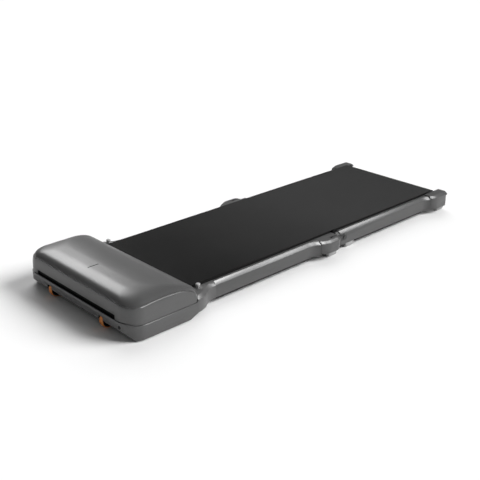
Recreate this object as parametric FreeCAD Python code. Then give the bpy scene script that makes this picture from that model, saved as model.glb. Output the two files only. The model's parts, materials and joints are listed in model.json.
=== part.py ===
import FreeCAD, Part
import math
import os

os.makedirs("parts", exist_ok=True)
V = FreeCAD.Vector

# Overall sizes, in millimetres. X is width, Y is length with the motor end at -Y, Z is up from the floor.
overall_length = 1440.0
walk_height = 70.0
belt_width = 400.0
belt_thickness = 1.6
roller_radius = 21.0
rear_roller_setback = 49.0
roller_inset = 35.0

# Fits and clearances.
belt_clearance = 0.3
running_fit = 0.05
seat_gap = 0.1
parting_gap = 0.4
side_play = 0.4
beyond = 2000.0

# Side rails.
belt_side_gap = 2.5
rail_width = 19.0
rail_drop = 6.5
rail_bottom = 16.0
rail_chamfer = 10.0
rail_wall = 2.5
rail_tail = 5.9

# Fold hinge. The two pivots of each link sit at the mid height of the belt loop.
fold_end_gap = 12.0
fold_gap = 4.0
nose_clearance = 0.5
link_thickness = 8.0
link_offset = 4.0
link_end_radius = 9.0
pin_radius = 5.5
pin_head_rim = 2.5
block_bulge = 27.5
block_bottom = 22.0
block_chamfer = 8.0
block_corner_radius = 25.0
block_straight = 26.0
block_flare = 80.0
block_length = 90.0
lug_length = 26.0

# End caps.
cap_bulge = 21.5
cap_rise = 2.5
cap_chamfer = 8.0
cap_wall = 2.7
cap_straight = 65.0
cap_flare = 65.0
cap_length = 96.0
cap_corner_radius = 14.0
cap_lip = 6.0
cap_lip_height = 11.0

# Motor housing.
housing_length = 240.0
housing_height = 121.8
housing_margin = 56.0
housing_corner_radius = 55.0
rear_corner_radius = 14.0
housing_wall = 3.0
floor_wall = 4.0
ledge_step = 2.0
base_bottom = 4.0
base_side_top = 46.0
base_front_top = 53.0
base_front_flat = 8.0
base_front_slope = 22.0
nose_height = 30.0
nose_depth = 25.0
shoulder_gap = 2.0
shoulder_flare = 100.0
shoulder_length = 87.0
shoulder_rise = 20.0
rise_length = 28.0
rise_end_gap = 94.0
belt_slot_gap = 3.5
display_half_width = 190.0
display_height = 13.0
display_rim = 4.0
status_half_length = 18.0
status_half_width = 1.7
status_depth = 8.3
status_setback = 70.0

# Frame tubes, decks and pans.
tube_wall = 2.0
tube_side_gap = 2.0
tube_seat_gap = 0.3
tube_in_block = 24.0
cross_tube_height = 21.0
cross_tube_depth = 22.0
cross_tube_count = 4
cushion_height = 4.0
cushion_radius = 9.0
cushion_pitch = 110.0
tube_above_cross = 2.0
deck_inset = 1.0
deck_thickness = 14.0
deck_roller_gap = 6.0
pan_thickness = 1.5
pan_overlap = 11.5
pan_end_gap = 6.0

# Drive and running gear.
axle_radius = 7.5
rear_axle_radius = 7.0
rear_axle_overhang = 11.0
bearing_width = 12.0
roller_wall = 3.5
roller_overhang = 1.5
roller_pulley_radius = 26.0
motor_pulley_radius = 13.0
pulley_width = 13.5
groove_depth = 1.6
drive_belt_thickness = 3.0
motor_z = 58.0
motor_radius = 36.0
motor_length = 146.0
saddle_drop = 18.0
saddle_inset = 18.0
flywheel_radius = 40.0
flywheel_width = 22.0
motor_shaft_radius = 6.0
cheek_thickness = 3.0
plate_thickness = 2.0
wheel_radius = 22.0
wheel_width = 17.0
wheel_x = 126.0
wheel_setback = 22.0
wheel_z = 23.0
wheel_bracket_reach = 34.0
wheel_axle_radius = 4.0
foot_length = 42.0
foot_width = 24.0
foot_corner = 4.0
base_foot_radius = 15.0
base_foot_setback = 80.0
block_foot_setback = 31.0
rear_foot_setback = 43.1
cap_foot_setback = 33.0
bumper_radius = 7.0
bumper_setback = 15.0
bumper_sink = 2.0
button_side_setback = 46.0
button_z = 38.2
button_radius = 4.8
button_length = 9.0
stem_radius = 2.5
stem_length = 5.0
button_travel = 2.5
inlet_z = 26.0
inlet_depth = 20.0
inlet_half_length = 14.0
inlet_half_height = 11.0
inlet_rim = 2.5
tension_screw_radius = 3.0
tension_head_radius = 4.6
axle_block_length = 24.0
axle_block_half_height = 10.7
tension_travel = 5.0
screw_radius = 2.0
boss_radius = 6.0
boss_inset = 18.0
front_boss_setback = 80.0
rear_boss_setback = 50.0
post_height = 37.6
post_bore = 23.6
screw_bite = 14.0
rail_screw_length = 10.0
front_screw_setback = 20.0
block_screw_setback = 36.0
rear_screw_setback = 46.0
cap_screw_setback = 24.0
rail_screw_count = 3

# Places along the length.
half_length = overall_length / 2
housing_rear_y = housing_length - half_length
front_roller_y = housing_rear_y - roller_inset
rear_roller_y = half_length - rear_roller_setback
shoulder_front_y = housing_rear_y + shoulder_gap
shoulder_rise_y = shoulder_front_y - shoulder_rise
front_rail_start_y = housing_rear_y + shoulder_length
shoulder_flare_start_y = front_rail_start_y - shoulder_flare
rise_end_y = front_rail_start_y - rise_end_gap
rise_start_y = rise_end_y - rise_length
folded_end_y = housing_rear_y + fold_end_gap
fold_plane_y = (folded_end_y + half_length) / 2
block_parting_y = fold_plane_y - block_length
front_tube_end_y = block_parting_y + tube_in_block
cap_parting_y = half_length - cap_length
wheel_y = wheel_setback - half_length
bracket_rear_y = wheel_y + wheel_bracket_reach
motor_spacing = (front_roller_y + roller_radius - bracket_rear_y) / 2
motor_y = front_roller_y - motor_spacing
bumper_y = folded_end_y + bumper_setback
boss_ys = [front_boss_setback - half_length, housing_rear_y - rear_boss_setback]
inlet_y = (boss_ys[0] + boss_ys[1]) / 2
status_y = status_setback - half_length

# Places across the width.
half_belt = belt_width / 2
half_width = half_belt + housing_margin
rail_inner_x = half_belt + belt_side_gap
rail_outer_x = rail_inner_x + rail_width
link_inner_x = rail_outer_x + link_offset
link_outer_x = link_inner_x + link_thickness
block_outer_x = rail_outer_x + block_bulge
cap_outer_x = rail_outer_x + cap_bulge
tube_inner_x = rail_inner_x + tube_side_gap
tube_outer_x = rail_outer_x - rail_wall - tube_seat_gap
tube_mid_x = (tube_inner_x + tube_outer_x) / 2
roller_half_length = half_belt + roller_overhang
pulley_x1 = -roller_half_length - 2
pulley_x0 = pulley_x1 - pulley_width
cheek_inner_x = 4 - pulley_x0
cheek_outer_x = cheek_inner_x + cheek_thickness
bumper_x = (rail_inner_x + rail_outer_x) / 2 + 1
button_x = half_width - button_side_setback
rear_axle_reach = half_belt + rear_axle_overhang

# Heights.
rail_top = walk_height - rail_drop
cap_top = rail_top + cap_rise
deck_top = walk_height - belt_thickness - belt_clearance
deck_bottom = deck_top - deck_thickness
axis_z = deck_top - roller_radius
cross_tube_top = deck_bottom - cushion_height - 2 * running_fit
cross_tube_bottom = cross_tube_top - cross_tube_height
tube_top = cross_tube_top + tube_above_cross
tube_bottom = rail_bottom + rail_wall + tube_seat_gap
pan_bottom = rail_bottom - pan_thickness - seat_gap
base_floor = base_bottom + floor_wall
plate_bottom = base_floor + seat_gap
plate_top = plate_bottom + plate_thickness
base_sill = base_side_top - housing_wall
belt_slot_top = walk_height + belt_slot_gap

# The fold, and what turns on it.
link_half_span = walk_height - axis_z + fold_gap / 2
front_pivot_y = fold_plane_y - link_half_span
rear_pivot_y = fold_plane_y + link_half_span
rear_rail_start_y = rear_pivot_y - rail_tail
nose_radius = link_half_span - nose_clearance
folded_sum = 2 * axis_z + 2 * link_half_span
bumper_top = folded_sum - cap_top - belt_clearance
belt_inner_radius = roller_radius + belt_clearance
drive_loop_radius = roller_pulley_radius + belt_clearance + drive_belt_thickness
front_tube_start_y = front_roller_y + drive_loop_radius + cheek_thickness + 1.2
tension_screw_x = tube_mid_x + 3.15


def box(x0, x1, y0, y1, z0, z1):
    low = V(min(x0, x1), min(y0, y1), min(z0, z1))
    return Part.makeBox(abs(x1 - x0), abs(y1 - y0), abs(z1 - z0), low)


def rod_x(y, z, radius, x0, x1):
    return Part.makeCylinder(radius, x1 - x0, V(x0, y, z), V(1, 0, 0))


def rod_y(x, z, radius, y0, y1):
    return Part.makeCylinder(radius, y1 - y0, V(x, y0, z), V(0, 1, 0))


def rod_z(x, y, radius, z0, z1):
    return Part.makeCylinder(radius, z1 - z0, V(x, y, z0), V(0, 0, 1))


def tube_x(y, z, outer, inner, x0, x1):
    return rod_x(y, z, outer, x0, x1).cut(rod_x(y, z, inner, x0 - 1, x1 + 1))


def prism_x(points, x0, x1):
    face = Part.Face(Part.makePolygon([V(x0, y, z) for y, z in points + points[:1]]))
    return face.extrude(V(x1 - x0, 0, 0))


def mirrored(shape):
    return shape.mirror(V(0, 0, 0), V(1, 0, 0))


def both_sides(shape):
    return Part.makeCompound([shape, mirrored(shape)])


def save(node, shape):
    shape.exportStep("parts/" + node + ".step")


def save_pair(node, shape):
    save(node + "_right", shape)
    save(node + "_left", mirrored(shape))


def spaced(first, last, count):
    return [first + (last - first) * i / (count - 1) for i in range(count)]


def segment(p, q):
    return Part.LineSegment(V(p[0], p[1], 0), V(q[0], q[1], 0)).toShape()


def arc(p, mid, q):
    return Part.Arc(V(p[0], p[1], 0), V(mid[0], mid[1], 0), V(q[0], q[1], 0)).toShape()


def s_curve(p, q):
    """Two tangent arcs that leave and arrive along Y."""
    across = abs(q[0] - p[0])
    along = q[1] - p[1]
    way = 1.0 if q[0] > p[0] else -1.0
    turn = 2 * math.atan2(across, along)
    radius = along / (2 * math.sin(turn))

    def leaving(angle):
        return (p[0] + way * radius * (1 - math.cos(angle)), p[1] + radius * math.sin(angle))

    def arriving(angle):
        return (q[0] - way * radius * (1 - math.cos(angle)), q[1] - radius * math.sin(angle))

    return [arc(p, leaving(turn / 2), leaving(turn)), arc(leaving(turn), arriving(turn / 2), q)]


def plan_prism(edges, z0, z1):
    wire = Part.Wire(Part.__sortEdges__(edges))
    wire.translate(V(0, 0, z0))
    return Part.Face(wire).extrude(V(0, 0, z1 - z0))


def chain(points):
    return [segment(p, q) for p, q in zip(points, points[1:])]


def side_prism(edges, x0, x1):
    """A side outline, drawn with the height first and the length second, extruded across the width."""
    wire = Part.Wire(Part.__sortEdges__(edges))
    wire.rotate(V(0, 0, 0), V(0, 1, 0), -90)
    wire.translate(V(x0, 0, 0))
    return Part.Face(wire).extrude(V(x1 - x0, 0, 0))


def chamfer_outer_top(solid, top, inner_x, size, y_limits):
    """Chamfer the outer edges of the top face, leaving the inner edge and the end edges sharp."""
    edges = []
    for edge in solid.Edges:
        ends = [edge.Vertexes[0].Point, edge.Vertexes[-1].Point]
        level = all(abs(p.z - top) < 1e-4 for p in ends)
        inner = all(abs(p.x - inner_x) < 1e-4 for p in ends)
        at_end = any(all(abs(p.y - y) < 1e-4 for p in ends) for y in y_limits)
        if level and not inner and not at_end:
            edges.append(edge)
    return solid.makeChamfer(size, edges)


def side_run(inset, top, bottom, chamfer, start_y, flare_start, flare_end, bulge_x, end_y, tail):
    """A rail that flares out to a bulge at its far end. tail lists the edges that close that end."""
    outer = rail_outer_x - inset
    bulge = bulge_x - inset
    edges = [segment((rail_inner_x, start_y), (outer, start_y))]
    edges.append(segment((outer, start_y), (outer, flare_start)))
    edges += s_curve((outer, flare_start), (bulge, flare_end))
    edges += tail
    edges.append(segment((rail_inner_x, end_y), (rail_inner_x, start_y)))
    solid = plan_prism(edges, bottom, top)
    return chamfer_outer_top(solid, top, rail_inner_x, chamfer, [start_y, end_y])


def within_nose(shape, pivot_y, side):
    """Keep what stays inside the nose radius about a fold pivot."""
    keep = box(-beyond, beyond, pivot_y, pivot_y - side * beyond, -beyond, beyond)
    return shape.common(keep.fuse(rod_x(pivot_y, axis_z, nose_radius, -beyond, beyond)))


def front_run(inset, top, bottom, chamfer):
    bulge = block_outer_x - inset
    radius = block_corner_radius
    straight_end = fold_plane_y - radius
    flare_end = straight_end - block_straight
    corner_x = bulge - radius
    slant = radius * math.sqrt(0.5)
    tail = [segment((bulge, flare_end), (bulge, straight_end))]
    mid = (corner_x + slant, straight_end + slant)
    tail.append(arc((bulge, straight_end), mid, (corner_x, fold_plane_y)))
    tail.append(segment((corner_x, fold_plane_y), (rail_inner_x, fold_plane_y)))
    return side_run(inset, top, bottom, chamfer, front_rail_start_y, flare_end - block_flare,
                    flare_end, block_outer_x, fold_plane_y, tail)


def rear_run(inset, top, bottom, chamfer, end):
    bulge = cap_outer_x - inset
    radius = cap_corner_radius - inset
    flare_end = half_length - cap_straight
    corner = (bulge - radius, end - radius)
    slant = radius * math.sqrt(0.5)
    tail = [segment((bulge, flare_end), (bulge, corner[1]))]
    tail.append(arc((bulge, corner[1]), (corner[0] + slant, corner[1] + slant), (corner[0], end)))
    tail.append(segment((corner[0], end), (rail_inner_x, end)))
    return side_run(inset, top, bottom, chamfer, rear_rail_start_y, flare_end - cap_flare,
                    flare_end, cap_outer_x, end, tail)


def whole_rear_run(inset, top, bottom, chamfer):
    return rear_run(inset, top, bottom, chamfer, half_length)


def inner_chamfer(chamfer, wall):
    return chamfer - wall * (2 - math.sqrt(2))


def rail_shell(run, y0, y1):
    """An open channel: top, slope, outer wall and bottom flange, open towards the belt."""
    outer = run(0, rail_top, rail_bottom, rail_chamfer)
    hollow = run(rail_wall, rail_top - rail_wall, rail_bottom + rail_wall,
                 inner_chamfer(rail_chamfer, rail_wall))
    return outer.cut(hollow).common(box(0, beyond, y0, y1, 0, beyond))


def front_rail():
    return rail_shell(front_run, front_rail_start_y, block_parting_y)


def rear_rail():
    rail = rail_shell(whole_rear_run, rear_rail_start_y, cap_parting_y)
    return rail.cut(rod_x(rear_pivot_y, axis_z, pin_radius + 1.5, tube_mid_x, link_inner_x))


def link_slot():
    reach = math.hypot(link_end_radius, rail_top - axis_z) + 0.6
    return box(link_inner_x - side_play, link_outer_x + side_play, front_pivot_y - reach, fold_plane_y + 1,
               axis_z - link_end_radius - 1, rail_top + 5)


def hinge_block():
    block = front_run(0, rail_top, block_bottom, block_chamfer)
    block = block.common(box(0, beyond, block_parting_y + parting_gap, fold_plane_y, 0, beyond))
    block = within_nose(block, front_pivot_y, 1)
    pocket = box(rail_inner_x - 1, tube_outer_x + seat_gap, block_parting_y - 1,
                 front_tube_end_y + seat_gap, 0, tube_top + seat_gap)
    pin_hole = rod_x(front_pivot_y, axis_z, pin_radius, rail_inner_x - 1, block_outer_x - 5)
    lightening = box(rail_inner_x + 4, link_inner_x - 5, front_tube_end_y + 8, front_pivot_y - 12,
                     0, rail_top - 7.5)
    return block.cut(pocket).cut(link_slot()).cut(pin_hole).cut(lightening)


def front_hinge_pin():
    return rod_x(front_pivot_y, axis_z, pin_radius, rail_inner_x + 3, block_outer_x - 5)


def hinge_link():
    x0 = link_inner_x
    x1 = link_outer_x
    bar = box(x0, x1, front_pivot_y, rear_pivot_y, axis_z - link_end_radius, axis_z + link_end_radius)
    for y in (front_pivot_y, rear_pivot_y):
        bar = bar.fuse(rod_x(y, axis_z, link_end_radius, x0, x1))
    crown_top = rail_top - 0.3
    back_y = front_pivot_y - link_end_radius
    crown = prism_x([(back_y, axis_z), (back_y + 2, crown_top - 3), (back_y + 5, crown_top),
                     (front_pivot_y + 15, crown_top), (front_pivot_y + 21, axis_z + link_end_radius - 1),
                     (front_pivot_y + 21, axis_z)], x0, x1)
    link = bar.fuse(crown).removeSplitter()
    for y in (front_pivot_y, rear_pivot_y):
        link = link.cut(rod_x(y, axis_z, pin_radius + running_fit, x0 - 1, x1 + 1))
    return link


def rear_hinge_pin():
    """Pin pressed into the rear lug, with a spacing collar and a head either side of the link."""
    rim = pin_radius + pin_head_rim
    head_x = link_outer_x + 0.3
    pin = rod_x(rear_pivot_y, axis_z, pin_radius, tube_inner_x, head_x + 1)
    collar = rod_x(rear_pivot_y, axis_z, rim, rail_outer_x + 0.3, link_inner_x - 0.3)
    head = rod_x(rear_pivot_y, axis_z, rim, head_x, head_x + 2.2)
    return pin.fuse(collar).fuse(head).removeSplitter()


def hollow_tube_y(y0, y1):
    outer = box(tube_inner_x, tube_outer_x, y0, y1, tube_bottom, tube_top)
    inner = box(tube_inner_x + tube_wall, tube_outer_x - tube_wall, y0 - 1, y1 + 1,
                tube_bottom + tube_wall, tube_top - tube_wall)
    return outer.cut(inner)


def front_tube():
    return hollow_tube_y(front_tube_start_y, front_tube_end_y)


yoke_start_y = rear_roller_y - 35
yoke_end_y = rear_roller_y + 32


def rear_tube():
    """Side tube with the solid hinge lug welded in at its front and the axle yoke at its rear."""
    lug_end = rear_pivot_y + lug_length
    tube = hollow_tube_y(lug_end, yoke_start_y)
    lug = tube_block(fold_plane_y, lug_end, rail_top - rail_wall - seat_gap)
    lug = within_nose(lug, rear_pivot_y, -1)
    lug = lug.cut(rod_x(rear_pivot_y, axis_z, pin_radius, rail_inner_x, link_inner_x))
    yoke = tube_block(yoke_start_y, yoke_end_y, rail_top - rail_wall - 1)
    half = axle_block_length / 2 + tension_travel + 3
    height = axle_block_half_height + 0.3
    window = box(rail_inner_x, link_inner_x, rear_roller_y - half, rear_roller_y + half,
                 axis_z - height, axis_z + height)
    screw_hole = rod_y(tension_screw_x, axis_z, tension_screw_radius + running_fit,
                       rear_roller_y, yoke_end_y + 1)
    return tube.fuse(lug).fuse(yoke.cut(window).cut(screw_hole)).removeSplitter()


def tube_block(y0, y1, top):
    """A solid length of the side tube's section, taller, with its outer top edge sloped off."""
    block = box(tube_inner_x, tube_outer_x, y0, y1, tube_bottom, top)
    edges = []
    for edge in block.Edges:
        ends = [v.Point for v in edge.Vertexes]
        if all(abs(p.x - tube_outer_x) < 1e-4 and abs(p.z - top) < 1e-4 for p in ends):
            edges.append(edge)
    return block.makeChamfer(inner_chamfer(rail_chamfer, rail_wall), edges)


front_cross_ys = spaced(front_rail_start_y - 25, block_parting_y + 8, cross_tube_count)
rear_cross_ys = spaced(rear_pivot_y + 39.1, cap_parting_y - 14, cross_tube_count)


def cross_tube(y):
    x = tube_inner_x - seat_gap
    half = cross_tube_depth / 2
    outer = box(-x, x, y - half, y + half, cross_tube_bottom, cross_tube_top)
    inner = box(-x - 1, x + 1, y - half + tube_wall, y + half - tube_wall, cross_tube_bottom + tube_wall,
                cross_tube_top - tube_wall)
    return outer.cut(inner)


def cushions(ys):
    pads = []
    for y in ys:
        for i in range(4):
            x = (i - 1.5) * cushion_pitch
            pads.append(rod_z(x, y, cushion_radius, cross_tube_top + running_fit, deck_bottom - running_fit))
    return Part.makeCompound(pads)


def deck(y0, y1, pivot_y, side):
    half = half_belt - deck_inset
    return within_nose(box(-half, half, y0, y1, deck_bottom, deck_top), pivot_y, side)


def front_deck():
    return deck(front_roller_y + roller_radius + deck_roller_gap, fold_plane_y, front_pivot_y, 1)


def rear_deck():
    return deck(fold_plane_y, rear_roller_y - roller_radius - deck_roller_gap, rear_pivot_y, -1)


def pan(half, y0, y1):
    return box(-half, half, y0, y1, pan_bottom, pan_bottom + pan_thickness)


def front_pan():
    tongue = pan(rail_inner_x - 1, shoulder_front_y, front_rail_start_y + 3)
    sheet = pan(rail_inner_x + pan_overlap, front_rail_start_y + 2, block_parting_y - pan_end_gap)
    return sheet.fuse(tongue).removeSplitter()


def rear_pan():
    return pan(rail_inner_x + pan_overlap, rear_foot_y + foot_length / 2 + 7, cap_parting_y - pan_end_gap)


def belt_loop(y0, z0, r0, y1, z1, r1, thickness, x0, x1):
    """A flat belt around two pulleys: the outline of both circles and their outer tangents."""
    def outline(grow):
        a = r0 + grow
        b = r1 + grow
        reach = math.hypot(y1 - y0, z1 - z0)
        along = math.atan2(z1 - z0, y1 - y0)
        lean = math.acos((a - b) / reach)

        def on(cy, cz, r, angle):
            return V(x0, cy + r * math.cos(angle), cz + r * math.sin(angle))

        up = along + lean
        down = along - lean
        first = Part.Arc(on(y0, z0, a, up), on(y0, z0, a, along + math.pi), on(y0, z0, a, down)).toShape()
        low = Part.LineSegment(on(y0, z0, a, down), on(y1, z1, b, down)).toShape()
        second = Part.Arc(on(y1, z1, b, down), on(y1, z1, b, along), on(y1, z1, b, up)).toShape()
        high = Part.LineSegment(on(y1, z1, b, up), on(y0, z0, a, up)).toShape()
        return Part.Face(Part.Wire([first, low, second, high]))

    return outline(thickness).cut(outline(0)).extrude(V(x1 - x0, 0, 0))


def walking_belt():
    return belt_loop(front_roller_y, axis_z, belt_inner_radius, rear_roller_y, axis_z, belt_inner_radius,
                     belt_thickness, -half_belt, half_belt)


def roller(y):
    bore = roller_radius - roller_wall
    return tube_x(y, axis_z, roller_radius, bore, -roller_half_length, roller_half_length)


def bearings(y, bore):
    x1 = roller_half_length - 1
    ring = tube_x(y, axis_z, roller_radius - roller_wall, bore + running_fit, x1 - bearing_width, x1)
    return both_sides(ring)


def grooved_rim(y, z, radius):
    """A pulley rim with five V grooves, turned about its axis."""
    pitch = pulley_width / 6
    points = [(pulley_x0, 0), (pulley_x0, radius)]
    for i in range(5):
        x = pulley_x0 + pitch * (i + 1)
        points += [(x - pitch * 0.42, radius), (x, radius - groove_depth), (x + pitch * 0.42, radius)]
    points += [(pulley_x1, radius), (pulley_x1, 0), (pulley_x0, 0)]
    face = Part.Face(Part.makePolygon([V(px, y, z + pr) for px, pr in points]))
    return face.revolve(V(0, y, z), V(1, 0, 0), 360)


def roller_pulley():
    rim = grooved_rim(front_roller_y, axis_z, roller_pulley_radius)
    hub = rod_x(front_roller_y, axis_z, roller_radius, pulley_x1, -roller_half_length)
    bore = rod_x(front_roller_y, axis_z, axle_radius + 1, pulley_x0 - 1, -roller_half_length + 1)
    return rim.fuse(hub).cut(bore)


flywheel_x0 = pulley_x1 + 13.5
flywheel_x1 = flywheel_x0 + flywheel_width
boss_x0 = flywheel_x1 + 4
bell_x0 = boss_x0 + 2
can_x0 = bell_x0 + 4
can_x1 = can_x0 + motor_length
bell_x1 = can_x1 + 4
boss_x1 = bell_x1 + 2


def flywheel_pulley():
    wheel = rod_x(motor_y, motor_z, flywheel_radius, flywheel_x0, flywheel_x1)
    hub = rod_x(motor_y, motor_z, motor_pulley_radius - 2, pulley_x1, flywheel_x0)
    body = wheel.fuse(hub).fuse(grooved_rim(motor_y, motor_z, motor_pulley_radius))
    ring = flywheel_radius - 14
    for i in range(8):
        angle = i * math.pi / 4
        y = motor_y + ring * math.cos(angle)
        z = motor_z + ring * math.sin(angle)
        body = body.cut(rod_x(y, z, 6, flywheel_x0 - 1, flywheel_x1 + 1))
    return body.cut(rod_x(motor_y, motor_z, motor_shaft_radius, pulley_x0 - 1, flywheel_x1 + 1))


def motor_can():
    can = tube_x(motor_y, motor_z, motor_radius, motor_radius - 3, can_x0, can_x1)
    for x0, x1 in ((bell_x0, can_x0), (can_x1, bell_x1)):
        can = can.fuse(rod_x(motor_y, motor_z, motor_radius - 1, x0, x1))
    for x0, x1 in ((boss_x0, bell_x0), (bell_x1, boss_x1)):
        can = can.fuse(rod_x(motor_y, motor_z, motor_shaft_radius + 8, x0, x1))
    bore = rod_x(motor_y, motor_z, motor_shaft_radius + running_fit, boss_x0 - 1, boss_x1 + 1)
    return can.cut(bore).removeSplitter()


def motor_shaft():
    shaft = rod_x(motor_y, motor_z, motor_shaft_radius, pulley_x0 - 2, boss_x1 + 4)
    core = rod_x(motor_y, motor_z, motor_radius - 6, can_x0 + 13, can_x1 - 13)
    return shaft.fuse(core)


def motor_mount():
    half = motor_radius - 2
    saddle = box(can_x0 + saddle_inset, can_x1 - saddle_inset, motor_y - half, motor_y + half,
                 plate_top + seat_gap, motor_z - saddle_drop)
    return saddle.cut(rod_x(motor_y, motor_z, motor_radius + seat_gap, can_x0, can_x1))


def drive_belt():
    return belt_loop(front_roller_y, axis_z, roller_pulley_radius + belt_clearance, motor_y, motor_z,
                     motor_pulley_radius + belt_clearance, drive_belt_thickness,
                     pulley_x0 + 0.5, pulley_x1 - 0.5)


def drive_chassis():
    """Floor plate with two cheeks that carry the front axle and two tabs that end the side tubes."""
    front = front_roller_y - 45
    low = rail_bottom + housing_wall + seat_gap
    ledge = base_sill - 0.5
    slope_y = shoulder_rise_y - 1
    top = axis_z + 15
    plate = box(-cheek_outer_x, cheek_outer_x, bracket_rear_y + 2, rise_start_y, plate_bottom, plate_top)
    cheek = prism_x([(front, plate_bottom), (rise_start_y, plate_bottom), (rise_end_y, low),
                     (front_tube_start_y, low), (front_tube_start_y, ledge), (slope_y, ledge),
                     (slope_y - 9, top), (front, top)], cheek_inner_x, cheek_outer_x)
    cheek = cheek.cut(rod_x(front_roller_y, axis_z, axle_radius, rail_inner_x, half_width))
    tab = box(tube_inner_x, cheek_outer_x, front_tube_start_y - cheek_thickness, front_tube_start_y,
              low, ledge)
    side = cheek.fuse(tab)
    return plate.fuse(side).fuse(mirrored(side)).removeSplitter()


def front_axle():
    return rod_x(front_roller_y, axis_z, axle_radius, -cheek_outer_x - 1, cheek_outer_x + 1)


def rear_axle():
    return rod_x(rear_roller_y, axis_z, rear_axle_radius, -rear_axle_reach, rear_axle_reach)


def axle_block():
    half = axle_block_length / 2
    block = box(tube_inner_x + 0.2, tube_outer_x - 0.2, rear_roller_y - half, rear_roller_y + half,
                axis_z - axle_block_half_height, axis_z + axle_block_half_height)
    block = block.cut(rod_x(rear_roller_y, axis_z, rear_axle_radius, rail_inner_x, rear_axle_reach))
    return block.cut(rod_y(tension_screw_x, axis_z, tension_screw_radius + running_fit,
                           rear_roller_y - half - 1, rear_roller_y + half + 1))


def tension_screw():
    head_y = yoke_end_y + 0.3
    half = axle_block_length / 2 + tension_travel
    shank = rod_y(tension_screw_x, axis_z, tension_screw_radius, rear_roller_y - half, head_y + 1)
    head = rod_y(tension_screw_x, axis_z, tension_head_radius, head_y, head_y + 3.8)
    corners = []
    for i in range(7):
        angle = i * math.pi / 3
        corners.append(V(tension_screw_x + 2 * math.cos(angle), head_y + 1.5, axis_z + 2 * math.sin(angle)))
    socket = Part.Face(Part.makePolygon(corners)).extrude(V(0, 5, 0))
    return shank.fuse(head).cut(socket).removeSplitter()


def end_cap():
    body_end = half_length - cap_lip
    cap = rear_run(0, cap_top, rail_bottom, cap_chamfer, body_end)
    lip = rear_run(0, cap_top, cap_top - cap_lip_height, cap_chamfer, half_length)
    cap = cap.fuse(lip).removeSplitter()
    hollow = rear_run(cap_wall, cap_top - cap_wall, rail_bottom + cap_wall,
                      inner_chamfer(cap_chamfer, cap_wall), body_end - cap_wall)
    cap = cap.cut(hollow).common(box(0, beyond, cap_parting_y + parting_gap, half_length, 0, beyond))
    return cap.cut(rod_y(tension_screw_x, axis_z, tension_head_radius + 0.6, body_end - cap_wall - 1, beyond))


block_foot_y = fold_plane_y - block_foot_setback
rear_foot_y = rear_pivot_y + rear_foot_setback
cap_foot_y = half_length - cap_foot_setback
base_foot_y = housing_rear_y - base_foot_setback


def foot(x0, y, top):
    pad = box(x0, x0 + foot_width, y - foot_length / 2, y + foot_length / 2, 0, top)
    return pad.makeFillet(foot_corner, [e for e in pad.Edges if abs(e.Vertexes[0].Z - e.Vertexes[1].Z) > 1])


def front_feet():
    under_block = foot(rail_outer_x - 10.5, block_foot_y, block_bottom)
    under_base = rod_z(tube_inner_x, base_foot_y, base_foot_radius, 0, base_bottom)
    return Part.makeCompound([under_block, mirrored(under_block), under_base, mirrored(under_base)])


def rear_feet():
    by_hinge = foot(tube_inner_x - 7.5, rear_foot_y, rail_bottom)
    under_cap = foot(rail_outer_x - 10.5, cap_foot_y, rail_bottom)
    return Part.makeCompound([by_hinge, mirrored(by_hinge), under_cap, mirrored(under_cap)])


def fold_bumper():
    post = rod_z(bumper_x, bumper_y, bumper_radius, rail_top - bumper_sink, bumper_top)
    return post.makeFillet(2.5, [e for e in post.Edges if abs(e.BoundBox.ZMin - bumper_top) < 1e-4])


def base_plan(inset, z0, z1):
    """Plan outline of the base: round front corners, straight sides, then a flare in to the rails."""
    x = half_width - inset
    front = -half_length + inset
    radius = housing_corner_radius - inset
    slant = radius * math.sqrt(0.5)
    rail_x = rail_outer_x - inset
    rear = front_rail_start_y
    edges = [segment((-(x - radius), front), (x - radius, front)), segment((-rail_x, rear), (rail_x, rear))]
    for side in (1, -1):
        corner_mid = (side * (x - radius + slant), front + radius - slant)
        edges.append(arc((side * (x - radius), front), corner_mid, (side * x, front + radius)))
        edges.append(segment((side * x, front + radius), (side * x, shoulder_flare_start_y)))
        edges += s_curve((side * x, shoulder_flare_start_y), (side * rail_x, rear))
    return plan_prism(edges, z0, z1)


def base_solid(inset, chamfer):
    top = rail_top - inset
    solid = base_plan(inset, 0, top)
    flare = []
    for edge in solid.Edges:
        ends = [v.Point for v in edge.Vertexes]
        level = all(abs(p.z - top) < 1e-4 for p in ends)
        behind = all(p.y > shoulder_flare_start_y - 1e-3 for p in ends)
        along = abs(ends[0].y - ends[-1].y) > 1
        if level and behind and along:
            flare.append(edge)
    return solid.makeChamfer(chamfer, flare)


def base_outer():
    front = -half_length
    flat_end = front + base_front_flat
    foot_of_rise = (base_side_top, shoulder_rise_y)
    head_of_rise = (rail_top, shoulder_front_y)
    edges = chain([head_of_rise, (rail_top, front_rail_start_y), (rail_bottom, front_rail_start_y),
                   (rail_bottom, rise_end_y), (base_bottom, rise_start_y), (base_bottom, front + nose_depth),
                   (nose_height, front), (base_front_top, front), (base_front_top, flat_end),
                   (base_side_top, flat_end + base_front_slope), foot_of_rise])
    edges += s_curve(foot_of_rise, head_of_rise)
    return base_solid(0, rail_chamfer).common(side_prism(edges, -beyond, beyond))


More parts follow.
